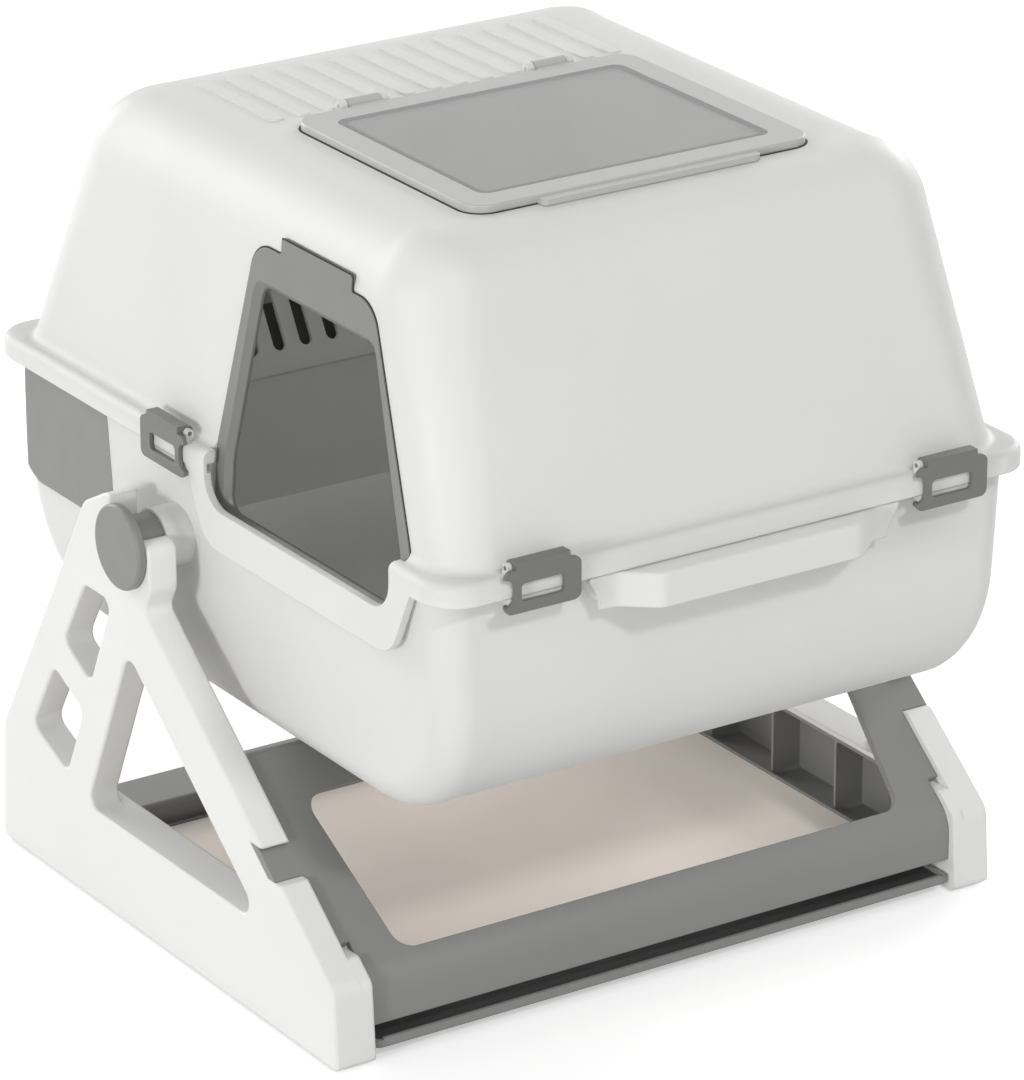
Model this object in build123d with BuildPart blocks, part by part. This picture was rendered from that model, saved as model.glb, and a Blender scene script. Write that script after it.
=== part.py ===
"""Sifting litter box: a hooded pan that rolls on two A-shaped side frames.

Millimetres, +Z up, front towards -Y, entrance on the -X side.
The origin is on the floor, under the middle of the whole object.
"""

import os
from math import atan2, cos, sin

from build123d import *

os.makedirs("parts", exist_ok=True)

# Clearances
fit_gap = 0.25          # between fixed pieces that slot into each other
running_gap = 0.1       # radial, between a shaft and what it turns in
travel_gap = 0.5        # between pieces that pass each other
seat_gap = 0.3          # under a piece that rests on another and lifts off it

# Side frames
frame_gap = 30.0
frame_leg_thickness = 20.0
frame_beam_thickness = 28.0
frame_beam_height = 66.0
frame_ledge_width = 18.0
frame_ledge_height = 6.0
frame_ledge_setback = 30.0
foot_step = 12.0
frame_skin = 3.5
frame_edge_radius = 1.6
pad_height = 3.0
pad_radius = 10.0
pad_proud = 1.5
pad_inset_y = 28.0
foot_front_y = -191.0
foot_rear_y = 229.0
foot_rear_height = 86.0
foot_rake = 4.0
foot_rear_rake = 6.0
leg_top_y = 35.0
leg_top_z = 229.0
leg_width = 42.0
rear_shoulder_y = 139.0
rear_shoulder_z = 226.0
rear_leg_width = 27.0
strut_width = 32.0
strut_foot_y = 114.0
strut_top_y = 57.0
horn_width = 24.0
horn_top_z = 294.0
horn_rear_y = 109.0
horn_rear_z = 279.0
ear_front_y = 27.0
ear_root_z = 244.0
ear_top_z = 275.0
hole_radius = 9.0
small_hole_radius = 7.0
upper_hole_low_z = 155.0
upper_hole_high_z = 221.0
lower_hole_low_z = 80.0
lower_hole_high_z = 131.0
hole_skew = 18.0

# Pivot
pivot_y = 57.0
pivot_z = 266.0
stem_radius = 18.0
knob_radius = 28.0
knob_thickness = 5.5
knob_edge_radius = 2.0
boss_radius = 20.0
boss_depth = 13.5
pivot_screw_radius = 3.0
pivot_screw_head_radius = 6.0
pivot_screw_head_height = 4.0
pivot_screw_length = 40.0

# Front panel
panel_recess = 3.5
panel_thickness = 5.0
panel_bottom_z = 23.0
panel_front_y = -184.0
panel_top_z = 156.0
panel_bend_radius = 26.0
window_low_z = 62.0
window_high_z = 135.0
window_low_margin = 38.75
window_high_margin = 24.75
window_corner = 14.0
panel_return = 28.0
panel_return_thickness = 3.0
tab_low_z = 102.0
tab_high_z = 119.0
lug_thickness = 6.0
lug_start = 128.0
lug_end = 164.0
lug_depth = 32.0
lug_screw_along = 146.0
lug_screw_drop = 20.0
rest_pad_width = 46.0
rest_pad_depth = 6.0
rest_pad_inset = 110.0

# Rear crossbar
bar_front_y = 165.0
bar_depth = 46.0
bar_height = 24.0
bar_wall = 3.0
bar_edge_radius = 4.0

# Side liners
liner_front_y = -131.0
liner_rear_y = 157.0
liner_wall = 2.0
liner_bays = 4
liner_bay_corner = 3.0

# Frame screws
screw_radius = 2.0
screw_head_radius = 4.0
screw_head_height = 2.4
screw_bite = 9.0

# Base tray and floor mat
tray_front_y = -187.0
tray_rear_y = 161.0
tray_floor = 2.0
tray_lip_height = 6.0
tray_lip_depth = 5.0
tray_edge_height = 5.0
tray_wall = 2.5
tray_corner = 6.0
tray_side_gap = 2.0
mat_thickness = 2.0
mat_corner = 4.0
mat_front_margin = 32.0

# Lower pan
pan_inset = 6.5
pan_side_draft = 10.0
pan_front_y = -251.0
pan_rear_y = 262.0
pan_bottom_z = 160.0
pan_front_radius = 92.0
pan_rear_radius = 86.0
pan_edge_radius = 22.0
pan_wall = 3.5

# Rim, where the hood sits on the pan
rim_half_width = 220.0
rim_front_y = -265.0
rim_rear_y = 281.0
rim_corner = 26.0
rim_bottom_z = 324.0
rim_seat_z = 330.0
rim_top_z = 338.0
rim_skirt = 2.5
rim_edge_radius = 5.0
rim_root_radius = 6.0
lip_thickness = 3.5
lip_gap = 1.0

# Hood
hood_inset = 13.0
hood_foot_front_y = -256.0
hood_foot_rear_y = 271.0
hood_foot_corner = 31.0
hood_side_lean = 11.0
hood_roof_front_y = -191.0
hood_roof_rear_y = 196.0
hood_roof_corner = 50.0
hood_roof_z = 521.0
hood_edge_radius = 46.0
hood_wall = 3.0
rib_count = 14
rib_width = 10.5
rib_margin = 69.0
rib_height = 1.2
rib_front_y = 66.0
rib_rear_y = 158.0

# Entrance on the left side
entrance_y = -99.0
entrance_foot_z = 293.0
entrance_knee_z = 338.0
entrance_half_width = 112.0
entrance_top_drop = 39.0
entrance_top_half_width = 67.0
entrance_top_shift = 8.0
entrance_foot_corner = 16.0
entrance_top_corner = 22.0
entrance_inner_foot_z = 300.0
entrance_inner_knee_z = 335.0
entrance_inner_half_width = 98.0
entrance_inner_top_drop = 66.0
entrance_inner_top_half_width = 64.0
entrance_inner_top_shift = 5.5
entrance_funnel = 4.0
entrance_bend = 0.4
entrance_inner_corner = 10.0
entrance_frame_depth = 6.0
entrance_frame_proud = 1.0
entrance_tab_inset = 27.0
entrance_tab_shift = 5.0
entrance_tab_drop = 29.0
entrance_cut_out = 5.0
apron_bottom_z = 277.0
apron_opening_z = 304.0
apron_half_width = 133.0
apron_foot_half_width = 108.0
apron_corner = 25.0
apron_thickness = 5.0
apron_opening_half_width = 107.0
apron_opening_corner = 20.0
notch_half_width = 113.0
notch_bottom_z = 291.5
notch_corner = 15.0

# Skylight
sky_margin = 70.0
sky_front_y = -154.0
sky_rear_y = 53.0
sky_corner = 16.0
sky_frame_band = 19.0
sky_frame_height = 5.0
sky_lip_half_width = 80.0
sky_lip_reach = 8.0
sky_seat_band = 10.0
sky_inner_corner = 8.0
pane_thickness = 2.5
pane_seat = 5.0
hinge_radius = 4.0
hinge_setback = 6.5
hinge_pin_radius = 1.5
hinge_knuckle_width = 24.0
hinge_inset = 56.0
hinge_ear_width = 5.0
hinge_ear_radius = 3.6

# Clips
clip_width = 54.0
clip_barrel_width = 38.0
clip_plate = 2.5
clip_gap = 1.0
clip_barrel_radius = 4.5
clip_barrel_inset = 3.5
clip_pin_radius = 1.5
clip_ear_width = 3.5
clip_ear_radius = 2.9
clip_window_width = 31.0
clip_window_height = 11.5
clip_window_drop = 15.0
clip_hook_reach = 8.0
clip_corner = 5.0
clip_scoop = 7.0
clip_prong = 5.0
catch_bottom_z = 318.5
catch_height = 5.0
catch_half_width = 21.0
front_clip_inset = 69.0
side_clip_y = 53.0

# Handle
handle_front_y = -281.0
handle_top_z = 323.0
handle_height = 22.0
handle_wall = 3.5
handle_corner = 10.0
handle_end_inset = 43.0
handle_ramp_inset = 20.0
handle_ramp_radius = 12.0
handle_plate_gap = 35.0
handle_plate_slant = 10.0
handle_plate_proud = 12.0
handle_plate_height = 18.0
handle_edge_radius = 2.5
peg_radius = 4.0
peg_inset = 26.0

# Waste drawer
drawer_front_y = 141.0
drawer_bottom_z = 240.0
drawer_top_z = 321.0
drawer_wall = 2.5
drawer_bottom_radius = 25.0
drawer_corner = 20.0
drawer_grip_half_width = 60.0
drawer_grip_reach = 9.0
drawer_grip_drop = 12.0
deck_wall = 3.0

# Sifting grate
grate_thickness = 3.0
grate_side_gap = 17.0
grate_share = 0.6216
grate_slope = 0.5645
grate_foot = 9.0
grate_slot_width = 9.0
grate_slot_share = 0.4
grate_slot_count = 17
grate_slot_pitch = 20.0

# Derived positions
frame_outer_x = rim_half_width + frame_gap
frame_bottom_z = pad_proud
foot_front_height = frame_beam_height - foot_step
pan_half_width = rim_half_width - pan_inset
boss_inner_x = pan_half_width - boss_depth
hood_foot_half_width = rim_half_width - hood_inset
hood_roof_half_width = hood_foot_half_width - hood_side_lean
sky_half_width = hood_roof_half_width - sky_margin
hinge_x = sky_half_width - hinge_inset
rib_pitch = 2 * (hood_roof_half_width - rib_margin) / (rib_count - 1)
entrance_top_z = hood_roof_z - entrance_top_drop
entrance_inner_top_z = hood_roof_z - entrance_inner_top_drop
entrance_tab_top_z = hood_roof_z - entrance_tab_drop
entrance_tab_half_width = entrance_top_half_width - entrance_tab_inset
front_clip_x = rim_half_width - front_clip_inset
entrance_bend_radius = (entrance_top_z - entrance_knee_z) * entrance_bend
entrance_inner_bend_radius = (entrance_inner_top_z - entrance_inner_knee_z) * entrance_bend
handle_plate_half_width = front_clip_x - handle_plate_gap
handle_ramp_half_width = handle_plate_half_width - handle_ramp_inset
handle_half_width = handle_plate_half_width - handle_end_inset
peg_x = handle_plate_half_width - peg_inset
peg_z = handle_top_z - handle_plate_height / 2
leg_inner_x = frame_outer_x - frame_leg_thickness
beam_inner_x = frame_outer_x - frame_beam_thickness
beam_middle_x = (frame_outer_x + beam_inner_x) / 2
ledge_inner_x = beam_inner_x - frame_ledge_width
ledge_top_z = frame_bottom_z + frame_ledge_height
saddle_radius = stem_radius + running_gap
leg_foot_y = foot_front_y + foot_rake
ledge_front_y = leg_foot_y + frame_ledge_setback
leg_angle = atan2(leg_top_z - foot_front_height, leg_top_y - leg_foot_y)
rear_knee_y = foot_rear_y - foot_rear_rake
rear_angle = atan2(rear_shoulder_z - foot_rear_height, rear_knee_y - rear_shoulder_y)
panel_back = panel_recess + panel_thickness
panel_half_width = leg_inner_x - fit_gap
window_low_half_width = panel_half_width - window_low_margin
window_high_half_width = panel_half_width - window_high_margin
panel_low_half_width = beam_inner_x - fit_gap
rest_pad_x = panel_half_width - rest_pad_inset
bar_bottom_z = pad_height
bar_half_width = beam_inner_x - fit_gap
bar_screw_y = bar_front_y + bar_depth / 2
bar_screw_z = bar_bottom_z + bar_height / 2
liner_outer_x = frame_outer_x - frame_skin - fit_gap
liner_length = liner_rear_y - liner_front_y - 2 * fit_gap
liner_middle_y = (liner_front_y + liner_rear_y) / 2
liner_middle_z = (ledge_top_z + frame_beam_height - frame_skin) / 2
liner_height = frame_beam_height - frame_skin - ledge_top_z - 2 * fit_gap
tray_bottom_z = ledge_top_z + seat_gap
tray_half_width = beam_inner_x - tray_side_gap
tray_length = tray_rear_y - tray_front_y
tray_middle_y = (tray_front_y + tray_rear_y) / 2
boss_outer_x = leg_inner_x - travel_gap
knob_head_x = frame_outer_x + travel_gap
rim_middle_y = (rim_front_y + rim_rear_y) / 2
rim_length = rim_rear_y - rim_front_y
hood_lean = atan2(hood_foot_half_width - hood_roof_half_width, hood_roof_z - rim_seat_z)
hood_foot_length = hood_foot_rear_y - hood_foot_front_y
hood_foot_middle_y = (hood_foot_front_y + hood_foot_rear_y) / 2
hood_roof_length = hood_roof_rear_y - hood_roof_front_y
hood_roof_middle_y = (hood_roof_front_y + hood_roof_rear_y) / 2
sky_length = sky_rear_y - sky_front_y
sky_middle_y = (sky_front_y + sky_rear_y) / 2
sky_bottom_z = hood_roof_z + seat_gap
sky_top_z = sky_bottom_z + sky_frame_height
sky_pane_half_width = sky_half_width - sky_frame_band
sky_pane_length = sky_length - 2 * sky_frame_band
hinge_y = sky_rear_y + hinge_setback
hinge_z = sky_bottom_z + hinge_radius
hinge_ear_x = hinge_knuckle_width / 2 + seat_gap + hinge_ear_width / 2
clip_axis_z = rim_top_z + seat_gap + clip_barrel_radius
clip_back = clip_barrel_inset + clip_gap
clip_face = clip_back + clip_plate
clip_hook_top = clip_axis_z - catch_bottom_z + clip_gap
clip_drop = clip_hook_top + clip_plate
clip_ear_offset = clip_barrel_width / 2 + seat_gap + clip_ear_width / 2
bay_front_y = drawer_front_y - seat_gap
bay_bottom_z = drawer_bottom_z - seat_gap
bay_top_z = drawer_top_z + travel_gap
drawer_half_width = pan_half_width
grate_half_width = hood_roof_half_width - grate_side_gap
grate_rise = (hood_roof_z - bay_top_z) * grate_share
grate_lean = grate_rise * grate_slope
grate_slot_length = grate_rise * grate_slot_share
grate_row_pitch = grate_rise / 2
sides = (-1, 1)


def on_leg(along, drop):
    """Point (Y, Z) along the front leg's ridge line from the toe, and square below it."""
    return (
        leg_foot_y + along * cos(leg_angle) + drop * sin(leg_angle),
        foot_front_height + along * sin(leg_angle) - drop * cos(leg_angle),
    )


def leg_along(z, drop):
    """Distance along the ridge line at which the line moved down by drop has height z."""
    return (z - foot_front_height + drop * cos(leg_angle)) / sin(leg_angle)


def on_leg_at(z, drop):
    """Point (Y, Z) at height z on the ridge line moved down by drop."""
    return on_leg(leg_along(z, drop), drop)


def rear_leg_y(z, inset):
    """Place along Y of the rear leg's outer line at height z, moved inwards by inset."""
    return rear_knee_y - (z - foot_rear_height) * cos(rear_angle) / sin(rear_angle) - inset / sin(rear_angle)


def leg_z_at(y, drop):
    """Height at y of the ridge line moved down by drop."""
    return foot_front_height + (y - leg_foot_y) * sin(leg_angle) / cos(leg_angle) - drop / cos(leg_angle)


strut_top_z = leg_z_at(strut_top_y, leg_width)


def strut_y(z, offset):
    """Place along Y of the middle strut's front edge at height z, moved rearwards by offset."""
    rise = (z - frame_beam_height) / (strut_top_z - frame_beam_height)
    return strut_foot_y + (strut_top_y - strut_foot_y) * rise + offset


def pan_half_width_at(z):
    """Half width of the pan's outer sides at height z."""
    return pan_half_width - pan_side_draft * (rim_seat_z - z) / (rim_seat_z - pan_bottom_z)


def up_wall(z):
    """Distance along the hood's leaning side wall from the seat up to height z."""
    return (z - rim_seat_z) / cos(hood_lean)


def finish(builder, label):
    """Label a finished piece and write it."""
    builder.part.label = label
    export_step(builder.part, f"parts/{label}.step")


entrance_plane = Plane(
    origin=(-hood_foot_half_width, entrance_y, rim_seat_z),
    x_dir=(0, -1, 0),
    z_dir=(-cos(hood_lean), 0, sin(hood_lean)),
)
front_left_axis = Plane(
    origin=(-front_clip_x, rim_front_y + clip_barrel_inset, clip_axis_z), x_dir=(0, -1, 0), z_dir=(-1, 0, 0)
)
front_right_axis = Plane(
    origin=(front_clip_x, rim_front_y + clip_barrel_inset, clip_axis_z), x_dir=(0, -1, 0), z_dir=(-1, 0, 0)
)
left_axis = Plane(
    origin=(-rim_half_width + clip_barrel_inset, side_clip_y, clip_axis_z), x_dir=(-1, 0, 0), z_dir=(0, 1, 0)
)
right_axis = Plane(
    origin=(rim_half_width - clip_barrel_inset, side_clip_y, clip_axis_z), x_dir=(1, 0, 0), z_dir=(0, -1, 0)
)
clip_axes = (front_left_axis, front_right_axis, left_axis, right_axis)

# Side frames
with BuildPart() as left_side_frame:
    with BuildSketch(Plane.YZ.offset(-frame_outer_x)):
        with BuildLine():
            FilletPolyline(
                (foot_front_y, frame_bottom_z),
                (leg_foot_y, foot_front_height),
                (leg_top_y, leg_top_z),
                (ear_front_y, ear_root_z),
                (ear_front_y, ear_top_z),
                (pivot_y, ear_top_z),
                (pivot_y, horn_top_z),
                (pivot_y + horn_width, horn_top_z),
                (horn_rear_y, horn_rear_z),
                (rear_shoulder_y, rear_shoulder_z),
                (rear_knee_y, foot_rear_height),
                (foot_rear_y, frame_bottom_z),
                radius=(4, 14, 6, 14, 9, 0, 0, 14, 16, 24, 20, 6),
                close=True,
            )
        make_face()
        # open cradle for the pivot stem
        with Locations((pivot_y, pivot_z)):
            Circle(saddle_radius, mode=Mode.SUBTRACT)
        with Locations((pivot_y, pivot_z + horn_top_z / 4)):
            Rectangle(2 * saddle_radius, horn_top_z / 2, mode=Mode.SUBTRACT)
        # large triangle between the front leg, the strut and the beam
        with BuildLine():
            FilletPolyline(
                on_leg_at(frame_beam_height, leg_width),
                (strut_foot_y, frame_beam_height),
                (strut_top_y, strut_top_z),
                radius=hole_radius,
                close=True,
            )
        make_face(mode=Mode.SUBTRACT)
        # two smaller holes between the strut and the rear leg
        with BuildLine():
            FilletPolyline(
                (strut_y(upper_hole_low_z, strut_width), upper_hole_low_z),
                (rear_leg_y(upper_hole_low_z + hole_skew, rear_leg_width), upper_hole_low_z + hole_skew),
                (rear_leg_y(upper_hole_high_z, rear_leg_width), upper_hole_high_z),
                (strut_y(upper_hole_high_z, strut_width), upper_hole_high_z),
                radius=small_hole_radius,
                close=True,
            )
        make_face(mode=Mode.SUBTRACT)
        with BuildLine():
            FilletPolyline(
                (strut_y(lower_hole_low_z, strut_width), lower_hole_low_z),
                (rear_leg_y(lower_hole_low_z + hole_skew, rear_leg_width), lower_hole_low_z + hole_skew),
                (rear_leg_y(lower_hole_high_z + hole_skew, rear_leg_width), lower_hole_high_z + hole_skew),
                (strut_y(lower_hole_high_z, strut_width), lower_hole_high_z),
                radius=small_hole_radius,
                close=True,
            )
        make_face(mode=Mode.SUBTRACT)
    extrude(amount=frame_leg_thickness)
    fillet(left_side_frame.faces().sort_by(Axis.X)[0].edges(), frame_edge_radius)
    # the lower beam is thicker than the legs and has a ledge that carries the base tray
    with BuildSketch(Plane.YZ.offset(-leg_inner_x)):
        with BuildLine():
            FilletPolyline(
                (foot_front_y, frame_bottom_z),
                (leg_foot_y, foot_front_height),
                on_leg_at(frame_beam_height, 0),
                (foot_rear_y - foot_rear_rake, frame_beam_height),
                (foot_rear_y, frame_bottom_z),
                radius=(4, 8, 4, 6, 6),
                close=True,
            )
        make_face()
    extrude(amount=frame_beam_thickness - frame_leg_thickness)
    with BuildSketch(Plane.XY.offset(frame_bottom_z)):
        with Locations((-(ledge_inner_x + beam_inner_x) / 2, (ledge_front_y + bar_front_y) / 2)):
            Rectangle(beam_inner_x - ledge_inner_x, bar_front_y - ledge_front_y)
    extrude(amount=frame_ledge_height)
    # notch in the front leg for the front panel's hook
    with BuildSketch(Plane.YZ.offset(-frame_outer_x)):
        with BuildLine():
            Polyline(
                on_leg_at(tab_low_z, -panel_back),
                on_leg_at(tab_low_z, panel_back),
                on_leg_at(tab_high_z, panel_back),
                on_leg_at(tab_high_z, -panel_back),
                close=True,
            )
        make_face()
    extrude(amount=frame_leg_thickness, mode=Mode.SUBTRACT)
    # hollow of the beam, open to the inside
    with BuildSketch(Plane.YZ.offset(-frame_outer_x + frame_skin)):
        with Locations((liner_middle_y, liner_middle_z)):
            Rectangle(liner_rear_y - liner_front_y, liner_height + 2 * fit_gap)
    extrude(amount=frame_beam_thickness - frame_skin, mode=Mode.SUBTRACT)
    # recesses for the foot pads
    with BuildSketch(Plane.XY.offset(frame_bottom_z)):
        with Locations(
            (-beam_middle_x, foot_front_y + pad_inset_y),
            (-beam_middle_x, foot_rear_y - pad_inset_y),
        ):
            Circle(pad_radius)
    extrude(amount=pad_height - pad_proud, mode=Mode.SUBTRACT)
    # blind holes for the front panel's and the crossbar's screws
    with BuildSketch(Plane.YZ.offset(-leg_inner_x)):
        with Locations(on_leg(lug_screw_along, lug_screw_drop)):
            Circle(screw_radius)
    extrude(amount=-screw_bite, mode=Mode.SUBTRACT)
    with BuildSketch(Plane.YZ.offset(-beam_inner_x)):
        with Locations((bar_screw_y, bar_screw_z)):
            Circle(screw_radius)
    extrude(amount=-screw_bite, mode=Mode.SUBTRACT)

with BuildPart() as right_side_frame:
    mirror(left_side_frame.part, about=Plane.YZ)

# Front panel
panel_window_plane = Plane(
    origin=(0, *on_leg(0, panel_recess)), x_dir=(1, 0, 0), z_dir=(0, -sin(leg_angle), cos(leg_angle))
)
panel_arm_start = leg_along(frame_beam_height + 1.0, panel_back)

with BuildPart() as front_panel:
    with BuildSketch(Plane.YZ):
        with BuildLine():
            FilletPolyline(
                (panel_front_y, panel_bottom_z),
                (panel_front_y, leg_z_at(panel_front_y, panel_recess)),
                on_leg_at(panel_top_z, panel_recess),
                on_leg_at(panel_top_z, panel_back),
                (panel_front_y + panel_thickness, leg_z_at(panel_front_y + panel_thickness, panel_back)),
                (panel_front_y + panel_thickness, panel_bottom_z),
                radius=(1, panel_bend_radius, 1.5, 1, panel_bend_radius - panel_thickness, 1),
                close=True,
            )
        make_face()
    extrude(amount=panel_low_half_width, both=True)
    with BuildSketch(Plane.YZ):
        with BuildLine():
            FilletPolyline(
                on_leg(panel_arm_start, panel_recess),
                on_leg_at(panel_top_z, panel_recess),
                on_leg_at(panel_top_z, panel_back),
                on_leg(panel_arm_start, panel_back),
                radius=(0, 1.5, 1, 0),
                close=True,
            )
        make_face()
    extrude(amount=panel_half_width, both=True)
    # return along the lower edge
    with BuildSketch(Plane.XY.offset(panel_bottom_z)):
        with Locations((0, panel_front_y + panel_return / 2)):
            Rectangle(2 * panel_low_half_width, panel_return)
    extrude(amount=panel_return_thickness)
    # hooks that drop into the notches of the legs
    with BuildSketch(Plane.YZ):
        with BuildLine():
            Polyline(
                on_leg_at(tab_low_z + fit_gap, panel_recess),
                on_leg_at(tab_low_z + fit_gap, panel_back),
                on_leg_at(tab_high_z - fit_gap, panel_back),
                on_leg_at(tab_high_z - fit_gap, panel_recess),
                close=True,
            )
        make_face()
    extrude(amount=frame_outer_x - fit_gap, both=True)
    # window
    with BuildSketch(panel_window_plane):
        with BuildLine():
            FilletPolyline(
                (-window_low_half_width, leg_along(window_low_z, panel_recess)),
                (window_low_half_width, leg_along(window_low_z, panel_recess)),
                (window_high_half_width, leg_along(window_high_z, panel_recess)),
                (-window_high_half_width, leg_along(window_high_z, panel_recess)),
                radius=window_corner,
                close=True,
            )
        make_face()
    extrude(amount=2 * panel_thickness, both=True, mode=Mode.SUBTRACT)
    # lugs that are screwed to the legs from inside
    for side in sides:
        with BuildSketch(Plane.YZ.offset(side * (panel_half_width - lug_thickness / 2))):
            with BuildLine():
                FilletPolyline(
                    on_leg(lug_start, panel_back - panel_recess),
                    on_leg(lug_end, panel_back - panel_recess),
                    on_leg(lug_end, lug_depth),
                    on_leg(lug_start, lug_depth),
                    radius=(0, 0, 5, 5),
                    close=True,
                )
            make_face()
            with Locations(on_leg(lug_screw_along, lug_screw_drop)):
                Circle(screw_radius, mode=Mode.SUBTRACT)
        extrude(amount=lug_thickness / 2, both=True)

# Rear crossbar: a channel that is open below, with closed ends
with BuildPart() as rear_crossbar:
    with BuildSketch(Plane.YZ):
        with BuildLine():
            FilletPolyline(
                (bar_front_y + fit_gap, bar_bottom_z),
                (bar_front_y + fit_gap, bar_bottom_z + bar_height),
                (bar_front_y + bar_depth, bar_bottom_z + bar_height),
                (bar_front_y + bar_depth, bar_bottom_z),
                radius=(0, bar_edge_radius, bar_edge_radius, 0),
                close=True,
            )
        make_face()
    extrude(amount=bar_half_width, both=True)
    with BuildSketch(Plane.YZ):
        with BuildLine():
            FilletPolyline(
                (bar_front_y + fit_gap + bar_wall, bar_bottom_z),
                (bar_front_y + fit_gap + bar_wall, bar_bottom_z + bar_height - bar_wall),
                (bar_front_y + bar_depth - bar_wall, bar_bottom_z + bar_height - bar_wall),
                (bar_front_y + bar_depth - bar_wall, bar_bottom_z),
                radius=(0, bar_edge_radius - bar_wall, bar_edge_radius - bar_wall, 0),
                close=True,
            )
        make_face()
    extrude(amount=bar_half_width - bar_wall, both=True, mode=Mode.SUBTRACT)
    with BuildSketch(Plane.YZ):
        with Locations((bar_screw_y, bar_screw_z)):
            Circle(screw_radius)
    extrude(amount=bar_half_width, both=True, mode=Mode.SUBTRACT)

# Side liners: ribbed channels inside the beams
liner_bay_pitch = (liner_length - liner_wall) / liner_bays
with BuildPart() as left_side_liner:
    with BuildSketch(Plane.YZ.offset(-liner_outer_x)):
        with Locations((liner_middle_y, liner_middle_z)):
            Rectangle(liner_length, liner_height)
    extrude(amount=liner_outer_x - beam_inner_x)
    with BuildSketch(Plane.YZ.offset(-liner_outer_x + liner_wall)):
        with Locations((liner_middle_y, liner_middle_z)):
            with GridLocations(liner_bay_pitch, liner_height, liner_bays, 1):
                RectangleRounded(liner_bay_pitch - liner_wall, liner_height - 2 * liner_wall, liner_bay_corner)
    extrude(amount=liner_outer_x - beam_inner_x, mode=Mode.SUBTRACT)

with BuildPart() as right_side_liner:
    mirror(left_side_liner.part, about=Plane.YZ)

# Frame screws: two through the front panel's lugs, two through the crossbar's ends
panel_screw_x = panel_half_width - lug_thickness
bar_screw_x = bar_half_width - bar_wall
with BuildPart() as frame_screws:
    for side in sides:
        with BuildSketch(Plane.YZ.offset(side * (leg_inner_x + screw_bite))):
            with Locations(on_leg(lug_screw_along, lug_screw_drop)):
                Circle(screw_radius)
        extrude(amount=-side * (leg_inner_x + screw_bite - panel_screw_x))
        with BuildSketch(Plane.YZ.offset(side * panel_screw_x)):
            with Locations(on_leg(lug_screw_along, lug_screw_drop)):
                Circle(screw_head_radius)
        extrude(amount=-side * screw_head_height)
        with BuildSketch(Plane.YZ.offset(side * (beam_inner_x + screw_bite))):
            with Locations((bar_screw_y, bar_screw_z)):
                Circle(screw_radius)
        extrude(amount=-side * (beam_inner_x + screw_bite - bar_screw_x))
        with BuildSketch(Plane.YZ.offset(side * bar_screw_x)):
            with Locations((bar_screw_y, bar_screw_z)):
                Circle(screw_head_radius)
        extrude(amount=-side * screw_head_height)

# Foot pads
with BuildPart() as foot_pads:
    with BuildSketch():
        with Locations(
            (-beam_middle_x, foot_front_y + pad_inset_y),
            (-beam_middle_x, foot_rear_y - pad_inset_y),
            (beam_middle_x, foot_front_y + pad_inset_y),
            (beam_middle_x, foot_rear_y - pad_inset_y),
        ):
            Circle(pad_radius)
    extrude(amount=pad_height)

# Rest pads on the front panel's top edge, under the pan
rest_pad_y = (on_leg_at(panel_top_z, panel_recess)[0] + on_leg_at(panel_top_z, panel_back)[0]) / 2
with BuildPart() as rest_pads:
    with BuildSketch(Plane.XY.offset(panel_top_z)):
        with Locations((-rest_pad_x, rest_pad_y), (rest_pad_x, rest_pad_y)):
            RectangleRounded(rest_pad_width, rest_pad_depth, rest_pad_depth / 3)
    extrude(amount=pan_bottom_z - seat_gap - panel_top_z)

# Base tray, a shallow tray that slides out under the front panel
with BuildPart() as base_tray:
    with BuildSketch(Plane.XY.offset(tray_bottom_z)):
        with Locations((0, tray_middle_y)):
            RectangleRounded(2 * tray_half_width, tray_length, tray_corner)
    extrude(amount=tray_edge_height)
    with BuildSketch(Plane.XY.offset(tray_bottom_z)):
        with Locations((0, tray_front_y + tray_lip_depth / 2)):
            Rectangle(2 * (tray_half_width - tray_corner), tray_lip_depth)
    extrude(amount=tray_lip_height)
    with BuildSketch(Plane.XY.offset(tray_bottom_z + tray_floor)):
        with Locations((0, tray_middle_y)):
            RectangleRounded(
                2 * (tray_half_width - tray_wall), tray_length - 2 * tray_wall, tray_corner - tray_wall
            )
    extrude(amount=tray_edge_height, mode=Mode.SUBTRACT)

# Floor mat
mat_front_y = tray_front_y + mat_front_margin
mat_rear_y = tray_rear_y - tray_wall - travel_gap
with BuildPart() as floor_mat:
    with BuildSketch(Plane.XY.offset(tray_bottom_z + tray_floor)):
        with Locations((0, (mat_front_y + mat_rear_y) / 2)):
            RectangleRounded(
                2 * (tray_half_width - tray_wall - travel_gap), mat_rear_y - mat_front_y, mat_corner
            )
    extrude(amount=mat_thickness)

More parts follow.
